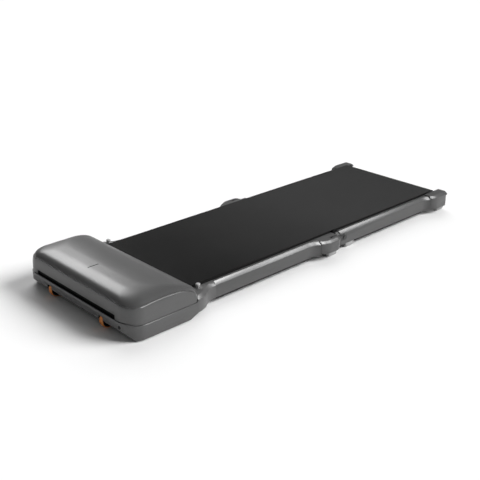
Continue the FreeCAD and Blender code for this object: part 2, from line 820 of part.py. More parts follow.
def base_hollow():
    wall = housing_wall
    front = -half_length + wall
    end = front_rail_start_y - wall
    low = rail_top - wall
    foot_of_rise = (base_sill, shoulder_rise_y + wall)
    head_of_rise = (low, shoulder_front_y + wall)
    edges = chain([head_of_rise, (low, end), (rail_bottom + wall, end), (rail_bottom + wall, rise_end_y),
                   (base_floor, rise_start_y + 2), (base_floor, front + nose_depth - 1),
                   (nose_height + wall, front), (low, front), (low, shoulder_rise_y),
                   (base_sill, shoulder_rise_y), foot_of_rise])
    edges += s_curve(foot_of_rise, head_of_rise)
    return base_solid(wall, inner_chamfer(rail_chamfer, wall)).common(side_prism(edges, -beyond, beyond))


def wheel_notch():
    half = wheel_width / 2 + 2
    top = nose_height + 10
    slot = box(wheel_x - half, wheel_x + half, -half_length - 1, wheel_y + wheel_radius + 3, -1, top)
    return slot.makeFillet(5, [e for e in slot.Edges if e.BoundBox.ZMin > top - 1 and e.BoundBox.XLength < 1])


def inlet_body():
    x0 = 0.2 - half_width
    length = inlet_half_length - inlet_rim
    height = inlet_half_height - inlet_rim - 0.7
    body = box(x0, x0 + inlet_depth, inlet_y - inlet_half_length, inlet_y + inlet_half_length,
               inlet_z - inlet_half_height, inlet_z + inlet_half_height)
    body = body.cut(box(x0 - 1, x0 + inlet_depth - 6, inlet_y - length, inlet_y + length,
                        inlet_z - height, inlet_z + height))
    for y, z in ((-7, -2), (7, -2), (0, 2)):
        body = body.fuse(box(x0 + 6, x0 + inlet_depth - 5, inlet_y + y - 1, inlet_y + y + 1,
                             inlet_z + z - 2, inlet_z + z + 2))
    return body


boss_x = half_width - boss_inset


def tray_cutter():
    """What is cut from the tray alike on both sides."""
    cutter = box(tube_inner_x - seat_gap, tube_outer_x + seat_gap, front_tube_start_y - 4.5,
                 front_rail_start_y + 15, tube_bottom - seat_gap, tube_top + seat_gap)
    cutter = cutter.fuse(wheel_notch())
    cutter = cutter.fuse(rod_z(bumper_x, bumper_y, bumper_radius, rail_top - bumper_sink, rail_top + 5))
    for y in boss_ys:
        cutter = cutter.fuse(rod_z(boss_x, y, screw_radius, 0, base_side_top + 1))
    return cutter


def base_tray():
    tray = base_outer().cut(base_hollow())
    for y in boss_ys:
        for side in (1, -1):
            tray = tray.fuse(rod_z(side * boss_x, y, boss_radius, base_floor - 1, base_side_top))
    tray = tray.cut(box(-rail_inner_x, rail_inner_x, shoulder_front_y - 2, front_rail_start_y + 5, 0, beyond))
    drive_room = cheek_outer_x + 1.5
    tray = tray.cut(box(-drive_room, drive_room, shoulder_rise_y - 1, shoulder_front_y,
                        base_sill - 0.4, beyond))
    tray = tray.cut(tray_cutter()).cut(mirrored(tray_cutter()))
    tray = tray.cut(rod_y(button_x, button_z, button_radius + 0.3, -half_length - 1, -half_length + 8))
    length = inlet_half_length + seat_gap
    height = inlet_half_height + seat_gap
    return tray.cut(box(-half_width - 1, -half_width + 8, inlet_y - length, inlet_y + length,
                        inlet_z - height, inlet_z + height))


# Levels of the upper housing. Each has its share of the height, the shares of the length by which the
# front and the rear are drawn in, and how far the sides are drawn in.
upper_levels = [
    (0.0, 0.0, 0.0, 0.0),
    (0.264, 0.00125, 0.0042, 0.3),
    (0.475, 0.0042, 0.0208, 1.2),
    (0.646, 0.0100, 0.0667, 3.2),
    (0.752, 0.0208, 0.1375, 6.6),
    (0.831, 0.0396, 0.2208, 12.0),
    (0.897, 0.0688, 0.3125, 21.0),
    (0.950, 0.1167, 0.4125, 35.0),
    (0.982, 0.1708, 0.5042, 53.0),
    (1.0, 0.2500, 0.6083, 80.0),
]
dome_shoulder = 12.0


def upper_z(share):
    return base_side_top + share * (housing_height - base_side_top)


def upper_outline(z, front_in, side_in, rear_in, inset):
    x = half_width - side_in - inset
    front = -half_length + front_in + inset
    rear = housing_rear_y - rear_in - inset
    radius = max(10.0, min(housing_corner_radius - inset - side_in * 0.25, (rear - front) * 0.45))
    back = max(8.0, min(rear_corner_radius - inset * 0.5, (rear - front) * 0.4))
    s = math.sqrt(0.5)
    edges = []
    edges.append(segment((-(x - radius), front), (x - radius, front)))
    edges.append(arc((x - radius, front), (x - radius + radius * s, front + radius - radius * s),
                     (x, front + radius)))
    edges.append(segment((x, front + radius), (x, rear - back)))
    edges.append(arc((x, rear - back), (x - back + back * s, rear - back + back * s), (x - back, rear)))
    edges.append(segment((x - back, rear), (-(x - back), rear)))
    edges.append(arc((-(x - back), rear), (-(x - back + back * s), rear - back + back * s),
                     (-x, rear - back)))
    edges.append(segment((-x, rear - back), (-x, front + radius)))
    edges.append(arc((-x, front + radius), (-(x - radius + radius * s), front + radius - radius * s),
                     (-(x - radius), front)))
    wire = Part.Wire(edges)
    wire.translate(V(0, 0, z))
    return wire


def upper_solid(inset, lower):
    """The domed upper housing, drawn in all round by inset and lowered by lower."""
    wires = []
    for share, front_share, rear_share, side_in in upper_levels:
        height = upper_z(share) - lower * min(1.0, side_in / dome_shoulder)
        if share == 0:
            height = base_side_top - 1.0
        front_in = front_share * housing_length
        rear_in = rear_share * housing_length
        wires.append(upper_outline(height, front_in, side_in, rear_in, inset))
    return Part.makeLoft(wires, True, False, False, 3)


# The line where the top cover meets the band: share of the housing's length, share of its height.
arch_line = [(-0.167, 0.726), (-0.042, 0.726), (0.017, 0.720), (0.067, 0.675), (0.125, 0.657), (0.25, 0.675),
             (0.375, 0.699), (0.483, 0.707), (0.633, 0.694), (0.75, 0.652), (0.842, 0.571), (0.904, 0.468),
             (0.946, 0.343), (0.975, 0.198), (0.996, 0.053), (1.008, -0.079)]


def above_arch(raise_by):
    """Everything above the line where the top cover meets the band."""
    points = [V(-beyond, s * housing_length - half_length, upper_z(h) + raise_by) for s, h in arch_line]
    curve = Part.BSplineCurve()
    curve.interpolate(points)
    first, last = points[0], points[-1]
    top_first = V(-beyond, first.y, beyond)
    top_last = V(-beyond, last.y, beyond)
    edges = [curve.toShape()]
    for p, q in ((last, top_last), (top_last, top_first), (top_first, first)):
        edges.append(Part.LineSegment(p, q).toShape())
    wire = Part.Wire(edges)
    return Part.Face(wire).extrude(V(2 * beyond, 0, 0))


def belt_mouth():
    x = rail_inner_x + 2
    return box(-x, x, front_roller_y - 5, housing_rear_y + 10, 0, belt_slot_top)


def above_base():
    front = -half_length - 5
    rear = housing_rear_y + 10
    low = base_side_top + parting_gap
    high = base_front_top + parting_gap
    flat_end = base_front_flat - half_length
    foot_of_rise = (low, shoulder_rise_y - parting_gap)
    head_of_rise = (rail_top + parting_gap, shoulder_front_y - parting_gap)
    edges = chain([head_of_rise, (head_of_rise[0], rear), (beyond, rear), (beyond, front), (high, front),
                   (high, flat_end), (low, flat_end + base_front_slope), foot_of_rise])
    edges += s_curve(foot_of_rise, head_of_rise)
    return side_prism(edges, -beyond, beyond)


def display_slot():
    z0 = base_front_top + parting_gap
    front = -half_length
    return box(-display_half_width, display_half_width, front - 5, front + 12, z0 - 1, z0 + display_height)


def top_cover():
    shell = upper_solid(2 * ledge_step, 0)
    shell = shell.cut(upper_solid(2 * ledge_step + housing_wall, housing_wall))
    shell = shell.common(above_arch(parting_gap)).common(above_base()).cut(belt_mouth())
    return largest(shell.cut(status_bar(0.1)))


def fascia_band():
    shell = upper_solid(ledge_step, 0)
    shell = shell.cut(upper_solid(ledge_step + housing_wall, housing_wall))
    shell = shell.cut(above_arch(0)).common(above_base()).cut(belt_mouth()).cut(display_slot())
    band = largest(shell)
    low = base_side_top + parting_gap
    high = low + post_height
    for y in boss_ys:
        post = rod_z(boss_x, y, boss_radius, low, high)
        post = post.fuse(box(boss_x, half_width - ledge_step - housing_wall, y - 1.5, y + 1.5, low, high))
        post = post.cut(rod_z(boss_x, y, screw_radius, low - 1, low + post_bore))
        band = band.fuse(post).fuse(mirrored(post))
    return band


def largest(shape):
    """The biggest solid of a cut, leaving crumbs behind."""
    return max(shape.Solids, key=lambda s: s.Volume)


def status_bar(grow):
    half = status_half_length + grow
    x = status_half_width + grow
    bar = box(-x, x, status_y - half, status_y + half, housing_height - status_depth, beyond)
    return bar.makeFillet(x - 0.1, [e for e in bar.Edges if e.BoundBox.ZLength > 1])


def status_light():
    return status_bar(0).common(upper_solid(2 * ledge_step, 0))


def display_window():
    y0 = -half_length + ledge_step + housing_wall + 0.6
    half = display_half_width + display_rim
    z0 = base_front_top + parting_gap
    return box(-half, half, y0, y0 + 3, z0, z0 + display_height + display_rim)


button_front_y = 0.5 - half_length
button_end_y = button_front_y + button_length
stem_end_y = button_end_y + stem_length


def power_button():
    cap = rod_y(button_x, button_z, button_radius, button_front_y, button_end_y)
    cap = cap.makeFillet(1.0, [e for e in cap.Edges if abs(e.BoundBox.YMax - button_front_y) < 1e-4])
    stem = rod_y(button_x, button_z, stem_radius, button_end_y - 1, stem_end_y)
    return cap.fuse(stem).removeSplitter()


def switch_body():
    """Switch seated behind the front wall where the housing's corner starts to turn."""
    half = button_radius + 0.9
    radius = housing_corner_radius - housing_wall
    into_corner = max(0.0, button_x + half - (half_width - housing_corner_radius))
    corner_depth = radius - math.sqrt(radius * radius - into_corner * into_corner)
    front = housing_wall - half_length + corner_depth + seat_gap
    back = stem_end_y + button_travel + 5
    body = box(button_x - half, button_x + half, front, back, button_z - half, button_z + half)
    bore = rod_y(button_x, button_z, button_radius + 0.2, front - 1, button_end_y + button_travel + 0.4)
    stem_bore = rod_y(button_x, button_z, stem_radius + 0.2, front, stem_end_y + button_travel + 0.4)
    return body.cut(bore).cut(stem_bore)


def wheel():
    half = wheel_width / 2
    x0 = wheel_x - half
    x1 = wheel_x + half
    disc = rod_x(wheel_y, wheel_z, wheel_radius, x0, x1)
    disc = disc.makeFillet(3.5, [e for e in disc.Edges if e.BoundBox.XLength < 1e-4])
    for side_x0, side_x1 in ((x0 - 1, x0 + 4), (x1 - 4, x1 + 1)):
        disc = disc.cut(tube_x(wheel_y, wheel_z, wheel_radius - 7.5, wheel_axle_radius + 4, side_x0, side_x1))
    return disc.cut(rod_x(wheel_y, wheel_z, wheel_axle_radius + running_fit, x0 - 1, x1 + 1))


def wheel_bracket():
    """Folded bracket with its riveted axle, standing on the base floor behind the nose."""
    foot_z = base_floor + seat_gap
    gap = wheel_width / 2 + 2.6
    bracket = rod_x(wheel_y, wheel_z, wheel_axle_radius, wheel_x - gap - 3, wheel_x + gap + 3)
    outline = [(wheel_y - 8, wheel_z + 2), (wheel_y, wheel_z - 8.5), (wheel_y + 8, foot_z),
               (bracket_rear_y, foot_z), (bracket_rear_y, wheel_z + 3), (wheel_y + 8, wheel_z + 13),
               (wheel_y - 4, wheel_z + 11)]
    for side in (1, -1):
        x0 = wheel_x + side * gap
        low = min(x0, x0 + side * 2)
        bracket = bracket.fuse(prism_x(outline, low, low + 2))
        flange = box(x0, x0 + side * 11, bracket_rear_y - 22, bracket_rear_y, foot_z, foot_z + 2)
        bracket = bracket.fuse(flange)
    return bracket.removeSplitter()


board_x0 = 20.0
board_length = 148.0
board_depth = 90.0
board_thickness = 1.6
board_stand = 8.0
capacitor_radius = 12.0
capacitor_height = 34.0
capacitor_pitch = 28.0
choke_radius = 9.0
choke_height = 26.0
relay_length = 36.0
relay_depth = 28.0
relay_height = 24.0
filter_length = 24.0
filter_depth = 22.0
filter_height = 16.0
fin_pitch = 7.0
fin_thickness = 2.0
fin_base = 5.0
fin_height = 31.0
board_y0 = bracket_rear_y + 9
board_top = plate_top + seat_gap + board_stand + board_thickness


def control_board():
    """Circuit board on four stand-offs with its capacitors and two modules."""
    low = board_top - board_thickness
    board = box(board_x0, board_x0 + board_length, board_y0, board_y0 + board_depth, low, board_top)
    for x in (6, board_length - 6):
        for y in (6, board_depth - 6):
            board = board.fuse(rod_z(board_x0 + x, board_y0 + y, 3.5, plate_top + seat_gap, low))
    first_x = board_x0 + 2.5 * capacitor_radius
    row_y = board_y0 + capacitor_radius + 8
    for x, radius, height in ((first_x, capacitor_radius, capacitor_height),
                              (first_x + capacitor_pitch, capacitor_radius, capacitor_height),
                              (first_x + 2 * capacitor_pitch - 2, choke_radius, choke_height)):
        board = board.fuse(rod_z(x, row_y, radius, board_top, board_top + height))
    relay_x = board_x0 + 14
    back_y = board_y0 + board_depth - 17
    board = board.fuse(box(relay_x, relay_x + relay_length, back_y - relay_depth, back_y,
                           board_top, board_top + relay_height))
    filter_x = relay_x + relay_length + 10
    board = board.fuse(box(filter_x, filter_x + filter_length, back_y - filter_depth, back_y,
                           board_top, board_top + filter_height))
    return board.removeSplitter()


def heat_sink():
    x0 = board_x0 + board_length - 6 - 6 * fin_pitch - fin_thickness
    y0 = board_y0 + 5
    y1 = board_y0 + board_depth - 15
    z = board_top + seat_gap
    sink = box(x0, x0 + 6 * fin_pitch + fin_thickness, y0, y1, z, z + fin_base)
    for i in range(7):
        x = x0 + i * fin_pitch
        sink = sink.fuse(box(x, x + fin_thickness, y0, y1, z + fin_base, z + fin_base + fin_height))
    return sink.removeSplitter()


def screw(x, y, seat, length, head_radius):
    head = rod_z(x, y, head_radius, seat - 2.0, seat)
    head = head.makeFillet(0.8, [e for e in head.Edges if abs(e.BoundBox.ZMax - (seat - 2.0)) < 1e-4])
    return head.fuse(rod_z(x, y, screw_radius, seat, seat + length)).removeSplitter()


def housing_screws():
    screws = []
    for y in boss_ys:
        one = screw(boss_x, y, base_bottom, base_side_top + screw_bite, screw_radius * 2)
        screws += [one, mirrored(one)]
    return Part.makeCompound(screws)


front_rail_screw_ys = spaced(front_rail_start_y + front_screw_setback, block_parting_y - block_screw_setback,
                             rail_screw_count)
rear_rail_screw_ys = spaced(rear_foot_y + rear_screw_setback, cap_parting_y - cap_screw_setback,
                            rail_screw_count)
rail_screw_x = tube_mid_x - 0.65


def rail_screws(ys):
    screws = []
    for y in ys:
        one = screw(rail_screw_x, y, pan_bottom, rail_screw_length, screw_radius * 1.9)
        screws += [one, mirrored(one)]
    return Part.makeCompound(screws)


def drilled(shape, ys):
    for y in ys:
        hole = rod_z(rail_screw_x, y, screw_radius, 0, pan_bottom + rail_screw_length + 1)
        shape = shape.cut(hole).cut(mirrored(hole))
    return shape


def build():
    save("base_tray", base_tray())
    save("fascia_band", fascia_band())
    save("top_cover", top_cover())
    save("display_window", display_window())
    save("status_light", status_light())
    save("power_button", power_button())
    save("switch_body", switch_body())
    save("power_inlet", inlet_body())
    save("housing_screws", housing_screws())
    save("drive_chassis", drive_chassis())
    save("motor_can", motor_can())
    save("motor_mount", motor_mount())
    save("motor_shaft", motor_shaft())
    save("flywheel_pulley", flywheel_pulley())
    save("drive_belt", drive_belt())
    save("control_board", control_board())
    save("heat_sink", heat_sink())
    save("front_axle", front_axle())
    save("front_roller", roller(front_roller_y))
    save("roller_pulley", roller_pulley())
    save("front_bearings", bearings(front_roller_y, axle_radius))
    save_pair("transport_wheel", wheel())
    save("wheel_brackets", both_sides(wheel_bracket()))
    save("walking_belt", walking_belt())
    save_pair("front_tube", drilled(front_tube(), front_rail_screw_ys))
    save("front_cross_tubes", Part.makeCompound([cross_tube(y) for y in front_cross_ys]))
    save("front_deck", front_deck())
    save("front_deck_cushions", cushions(front_cross_ys))
    save_pair("front_rail", drilled(front_rail(), front_rail_screw_ys))
    save_pair("hinge_block", hinge_block())
    save("front_hinge_pins", both_sides(front_hinge_pin()))
    save_pair("hinge_link", hinge_link())
    save("front_pan", drilled(front_pan(), front_rail_screw_ys))
    save("front_feet", front_feet())
    save("fold_bumpers", both_sides(fold_bumper()))
    save("front_rail_screws", rail_screws(front_rail_screw_ys))
    save_pair("rear_tube", drilled(rear_tube(), rear_rail_screw_ys))
    save("rear_cross_tubes", Part.makeCompound([cross_tube(y) for y in rear_cross_ys]))
    save("rear_deck", rear_deck())
    save("rear_deck_cushions", cushions(rear_cross_ys))
    save_pair("rear_rail", drilled(rear_rail(), rear_rail_screw_ys))
    save_pair("end_cap", end_cap())
    save("rear_hinge_pins", both_sides(rear_hinge_pin()))
    save("rear_pan", drilled(rear_pan(), rear_rail_screw_ys))
    save("rear_feet", rear_feet())
    save("rear_rail_screws", rail_screws(rear_rail_screw_ys))
    save("rear_axle", rear_axle())
    save("axle_blocks", both_sides(axle_block()))
    save("rear_roller", roller(rear_roller_y))
    save("rear_bearings", bearings(rear_roller_y, rear_axle_radius))
    save_pair("tension_screw", tension_screw())


build()
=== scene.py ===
# %% [markdown]
# # Dressing a folding walking pad
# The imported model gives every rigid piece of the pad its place. This lesson sets up the studio, mixes the
# finishes and then models the pieces that need more than a finish. Sizes are in metres: X is the width, Y
# the length with the motor housing at -Y, and Z is up from the floor.

# %% Load the frame
import json
import math

import bmesh
import bpy
from mathutils import Matrix, Vector


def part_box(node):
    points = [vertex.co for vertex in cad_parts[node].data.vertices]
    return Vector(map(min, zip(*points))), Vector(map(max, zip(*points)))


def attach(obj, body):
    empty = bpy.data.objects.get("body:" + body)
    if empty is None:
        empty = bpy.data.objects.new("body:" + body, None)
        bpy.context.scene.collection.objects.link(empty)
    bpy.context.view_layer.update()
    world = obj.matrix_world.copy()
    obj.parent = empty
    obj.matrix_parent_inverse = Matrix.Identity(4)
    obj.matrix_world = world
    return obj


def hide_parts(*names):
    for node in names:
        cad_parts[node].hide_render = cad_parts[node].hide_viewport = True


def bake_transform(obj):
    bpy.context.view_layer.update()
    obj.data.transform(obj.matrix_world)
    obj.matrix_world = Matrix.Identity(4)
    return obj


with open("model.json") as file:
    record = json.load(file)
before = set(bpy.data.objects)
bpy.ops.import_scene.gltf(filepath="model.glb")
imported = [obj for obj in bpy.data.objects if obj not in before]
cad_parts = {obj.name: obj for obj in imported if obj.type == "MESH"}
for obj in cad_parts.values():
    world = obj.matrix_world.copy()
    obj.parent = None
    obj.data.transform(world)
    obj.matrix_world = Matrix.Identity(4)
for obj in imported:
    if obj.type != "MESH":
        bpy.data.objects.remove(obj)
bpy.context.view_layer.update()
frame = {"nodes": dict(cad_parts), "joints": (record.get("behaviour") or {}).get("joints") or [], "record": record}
nodes = frame["nodes"]

# %% [markdown]
# ## Camera
# The picture was taken from the near front corner, looking down along the pad. The lens could be typed in
# millimetres, but a focal length in pixels is what a fit to a picture gives. So the camera is placed by
# where it stands and where it looks, and the lens follows from the focal length and the side of the
# square picture.

# %% Camera
picture_side = 480
focal_pixels = 838
sensor_width = 36
view_reach = 100
eye = Vector((1.8084, -1.7957, 1.0973))
gaze = Vector((-0.6694, 0.6306, -0.3930))

camera_data = bpy.data.cameras.new("studio_camera")
camera_data.sensor_width = sensor_width
camera_data.lens = focal_pixels / picture_side * sensor_width
camera_data.clip_end = view_reach
camera = bpy.data.objects.new("studio_camera", camera_data)
camera.location = eye
camera.rotation_euler = gaze.to_track_quat("-Z", "Y").to_euler()
bpy.context.scene.collection.objects.link(camera)
bpy.context.scene.camera = camera
bpy.context.scene.view_settings.view_transform = "Standard"
print("camera: lens", round(camera_data.lens, 2), "mm")

# %% [markdown]
# ## Suns
# The shadow in the picture falls to the front left, with a fainter one towards the viewer. Lamps close by
# would leave the floor uneven. Two wide suns give it one tone and soft shadows: the key from the rear
# right, and a weaker fill from the rear left. They are kept out of reflections, where such wide discs
# would show.

# %% Suns
def wide_sun(name, direction, spread, strength):
    light = bpy.data.lights.new(name, "SUN")
    light.angle = math.radians(spread)
    light.energy = strength
    lamp = bpy.data.objects.new(name, light)
    lamp.rotation_euler = Vector(direction).to_track_quat("-Z", "Y").to_euler()
    lamp.visible_glossy = False
    bpy.context.scene.collection.objects.link(lamp)
    print(name, strength)


wide_sun("key_sun", direction=(-0.56, -0.60, -0.57), spread=36, strength=3.8)
wide_sun("fill_sun", direction=(0.60, -0.56, -0.57), spread=60, strength=1.7)

# %% [markdown]
# ## Soft boxes
# Bright bands on a satin surface are reflections of lit panels. One box far out on the left draws the
# pale band along the cover. A second one at the rear right lights the top edges of the near rails, and a
# small one high on the right lights the curved edges at the hinge. All three act through reflections
# alone, so the floor keeps its tone.

# %% Soft boxes
def soft_box(name, place, target, width, height, power):
    light = bpy.data.lights.new(name, "AREA")
    light.shape = "RECTANGLE"
    light.size = width
    light.size_y = height
    light.energy = power
    lamp = bpy.data.objects.new(name, light)
    lamp.location = place
    lamp.rotation_euler = (Vector(target) - Vector(place)).to_track_quat("-Z", "Y").to_euler()
    lamp.visible_diffuse = False
    lamp.visible_camera = False
    bpy.context.scene.collection.objects.link(lamp)
    print(name, power, "W")
    return lamp


soft_box("band_box", place=(-2.32, 0.16, 1.83), target=(0, -0.6, 0.1), width=1.3, height=0.9, power=40)
strip_box = soft_box("strip_box", place=(1.26, 1.10, 1.65), target=(0.2, -0.3, 0.05),
                     width=0.75, height=0.75, power=30)
edge_box = soft_box("edge_box", place=(1.37, 0.05, 2.2), target=(0.2, 0.05, 0.05),
                    width=0.35, height=0.35, power=60)

# %% [markdown]
# ## White room
# The background of the picture is plain white, yet the pad isn't washed out by it. So the world is full
# white where the camera looks straight at it, and a dim grey for every other ray.

# %% White room
white = (1, 1, 1, 1)
room_glow = 0.14
first_shader, second_shader = 1, 2

world = bpy.data.worlds.new("white_room")
bpy.context.scene.world = world
world.use_nodes = True
room = world.node_tree
dim = room.nodes["Background"]
dim.inputs["Color"].default_value = white
dim.inputs["Strength"].default_value = room_glow
sweep = room.nodes.new("ShaderNodeBackground")
sweep.inputs["Color"].default_value = white
seen = room.nodes.new("ShaderNodeLightPath")
either = room.nodes.new("ShaderNodeMixShader")
room.links.new(seen.outputs["Is Camera Ray"], either.inputs["Fac"])
room.links.new(dim.outputs["Background"], either.inputs[first_shader])
room.links.new(sweep.outputs["Background"], either.inputs[second_shader])
room.links.new(either.outputs["Shader"], room.nodes["World Output"].inputs["Surface"])
print("room: glow", room_glow)

# %% [markdown]
# ## Floor
# A studio floor is a sheet of white paper. One large square is enough for it, since no edge of it comes
# into view. It lies half a millimetre under the feet, so that no two faces share a plane.

# %% Floor
floor_reach = 20
floor_drop = 0.0005

floor_mesh = bpy.data.meshes.new("floor")
floor_shape = bmesh.new()
bmesh.ops.create_grid(floor_shape, x_segments=1, y_segments=1, size=floor_reach)
bmesh.ops.translate(floor_shape, verts=floor_shape.verts, vec=(0, 0, -floor_drop))
floor_shape.to_mesh(floor_mesh)
floor_shape.free()
floor = bpy.data.objects.new("floor", floor_mesh)
bpy.context.scene.collection.objects.link(floor)
print("floor: reach", floor_reach, "m")

# %% [markdown]
# ## Shared surface effects
# Moulded plastic, drawn aluminium and woven belt each have a texture of their own. It could be built
# again in every material, but a node group is made once and each finish uses it at its own scale. Every
# effect takes a place and a scale, and gives a mottle for tone and sheen and a height for the bump.

# %% Effect helpers
def new_effect(name):
    """An empty node group with the sockets that all effects share, and its input and output nodes."""
    group = bpy.data.node_groups.new(name, "ShaderNodeTree")
    group.interface.new_socket(name="Vector", in_out="INPUT", socket_type="NodeSocketVector")
    group.interface.new_socket(name="Scale", in_out="INPUT", socket_type="NodeSocketFloat")
    group.interface.new_socket(name="Mottle", in_out="OUTPUT", socket_type="NodeSocketFloat")
    group.interface.new_socket(name="Height", in_out="OUTPUT", socket_type="NodeSocketFloat")
    print("effect:", name)
    return group, group.nodes.new("NodeGroupInput"), group.nodes.new("NodeGroupOutput")


def put(tree, kind, **values):
    """A new node with the given values set on its inputs."""
    node = tree.nodes.new(kind)
    for name, value in values.items():
        node.inputs[name.replace("_", " ")].default_value = value
    return node


def product(tree, first, second):
    """One output multiplied by another output or by a plain number."""
    node = put(tree, "ShaderNodeMath")
    node.operation = "MULTIPLY"
    tree.links.new(first, node.inputs[0])
    if isinstance(second, float):
        node.inputs[1].default_value = second
    else:
        tree.links.new(second, node.inputs[1])
    return node.outputs[0]


# %% [markdown]
# ### Moulded grain
# The steel mould of a plastic shell is spark eroded, which leaves a fine even grain on the plastic. One
# noise makes that grain, and a second one, a hundred times coarser, lets the tone drift slowly as thick
# and thin walls cool differently.

# %% Moulded grain
drift_share = 0.01

grain, entry, leave = new_effect("moulded_grain")
drift = put(grain, "ShaderNodeTexNoise", Detail=3, Roughness=0.55)
spark = put(grain, "ShaderNodeTexNoise", Detail=2, Roughness=0.6)
grain.links.new(entry.outputs["Vector"], drift.inputs["Vector"])
grain.links.new(entry.outputs["Vector"], spark.inputs["Vector"])
grain.links.new(entry.outputs["Scale"], spark.inputs["Scale"])
grain.links.new(product(grain, entry.outputs["Scale"], drift_share), drift.inputs["Scale"])
grain.links.new(drift.outputs["Fac"], leave.inputs["Mottle"])
grain.links.new(spark.outputs["Fac"], leave.inputs["Height"])

# %% [markdown]
# ### Drawn lines
# Aluminium that is pressed or drawn through a die keeps faint lines along its length. A noise that is
# stretched fifty times along Y gives such lines, without having to draw each of them.

# %% Drawn lines
line_stretch = (1, 0.02, 1)

drawn, entry, leave = new_effect("drawn_lines")
stretch = put(drawn, "ShaderNodeMapping", Scale=line_stretch)
streak = put(drawn, "ShaderNodeTexNoise", Detail=3, Roughness=0.6)
drawn.links.new(entry.outputs["Vector"], stretch.inputs["Vector"])
drawn.links.new(stretch.outputs["Vector"], streak.inputs["Vector"])
drawn.links.new(entry.outputs["Scale"], streak.inputs["Scale"])
drawn.links.new(streak.outputs["Fac"], leave.inputs["Mottle"])
drawn.links.new(streak.outputs["Fac"], leave.inputs["Height"])

# %% [markdown]
# ### Belt weave
# The face of a walking belt has a small diamond pattern from the fabric that it is pressed on. Two waves
# that cross at right angles make the diamonds. The mottle follows the length as painted shade: near black
# by the housing and paler towards the rear, with a little real scuffing mixed in.

# %% Belt weave
weave_turns = (math.radians(45), math.radians(-45))
housing_shade_y = -0.55
open_light_y = 0.30
scuff_share = 0.25

weave, entry, leave = new_effect("belt_weave")
threads = []
for weave_turn in weave_turns:
    turned = put(weave, "ShaderNodeMapping", Rotation=(0, 0, weave_turn))
    thread = put(weave, "ShaderNodeTexWave", Distortion=0.0, Detail=0.0)
    weave.links.new(entry.outputs["Vector"], turned.inputs["Vector"])
    weave.links.new(turned.outputs["Vector"], thread.inputs["Vector"])
    weave.links.new(entry.outputs["Scale"], thread.inputs["Scale"])
    threads.append(thread.outputs["Fac"])
weave.links.new(product(weave, *threads), leave.inputs["Height"])

# Painted shade: the tone ramps from near black by the housing to paler towards the rear.
along = put(weave, "ShaderNodeSeparateXYZ")
weave.links.new(entry.outputs["Vector"], along.inputs["Vector"])
painted_shade_ramp = put(weave, "ShaderNodeMapRange", From_Min=housing_shade_y, From_Max=open_light_y)
painted_shade_ramp.interpolation_type = "SMOOTHSTEP"
weave.links.new(along.outputs["Y"], painted_shade_ramp.inputs["Value"])
scuff = put(weave, "ShaderNodeTexNoise", Scale=3, Detail=6, Roughness=0.6)
weave.links.new(entry.outputs["Vector"], scuff.inputs["Vector"])
shade_and_scuff = put(weave, "ShaderNodeMix", Factor=scuff_share)
weave.links.new(painted_shade_ramp.outputs["Result"], shade_and_scuff.inputs["A"])
weave.links.new(scuff.outputs["Fac"], shade_and_scuff.inputs["B"])
weave.links.new(shade_and_scuff.outputs["Result"], leave.inputs["Mottle"])

# %% [markdown]
# ## Finishes
# Every finish is a Principled surface whose tone and roughness drift between two values by the effect's
# mottle, with the effect's height as bump. What is the same all over is set on the shader itself.

# %% Finish builder
mix_dark, mix_light, mix_result = 6, 7, 2
finishes = {}


def greys(*levels):
    """One neutral colour for each level."""
    return [(level, level, level) for level in levels]


def finish(name, effect, scale, tones, roughness, bump, metallic=0.0, specular=0.5):
    """A material from an effect. Tone and roughness drift within a pair, bump is strength and depth."""
    material = bpy.data.materials.new(name)
    material.use_nodes = True
    tree = material.node_tree
    surface = tree.nodes["Principled BSDF"]
    surface.inputs["Metallic"].default_value = metallic
    surface.inputs["Specular IOR Level"].default_value = specular
    place = put(tree, "ShaderNodeTexCoord")
    texture = put(tree, "ShaderNodeGroup")
    texture.node_tree = effect
    texture.inputs["Scale"].default_value = scale
    tree.links.new(place.outputs["Object"], texture.inputs["Vector"])
    tone = put(tree, "ShaderNodeMix")
    tone.data_type = "RGBA"
    tone.inputs[mix_dark].default_value = (*tones[0], 1)
    tone.inputs[mix_light].default_value = (*tones[1], 1)
    tree.links.new(texture.outputs["Mottle"], tone.inputs["Factor"])
    tree.links.new(tone.outputs[mix_result], surface.inputs["Base Color"])
    sheen = put(tree, "ShaderNodeMapRange", To_Min=roughness[0], To_Max=roughness[1])
    tree.links.new(texture.outputs["Mottle"], sheen.inputs["Value"])
    tree.links.new(sheen.outputs["Result"], surface.inputs["Roughness"])
    relief = put(tree, "ShaderNodeBump", Strength=bump[0], Distance=bump[1])
    tree.links.new(texture.outputs["Height"], relief.inputs["Height"])
    tree.links.new(relief.outputs["Normal"], surface.inputs["Normal"])
    finishes[name] = material


# %% [markdown]
# ### Finishes of the pad
# The shell and the rails are a satin grey with a slight metallic sheen. The belt and the display slot
# hardly mirror anything, so their specular level is near zero. The rest is steel, paint, rubber and
# board, most of it out of sight. The paper floor is mixed here too.

# %% Finishes of the pad
green = [(0.01, 0.08, 0.03), (0.02, 0.13, 0.05)]
orange = [(0.62, 0.20, 0.03), (0.74, 0.26, 0.05)]

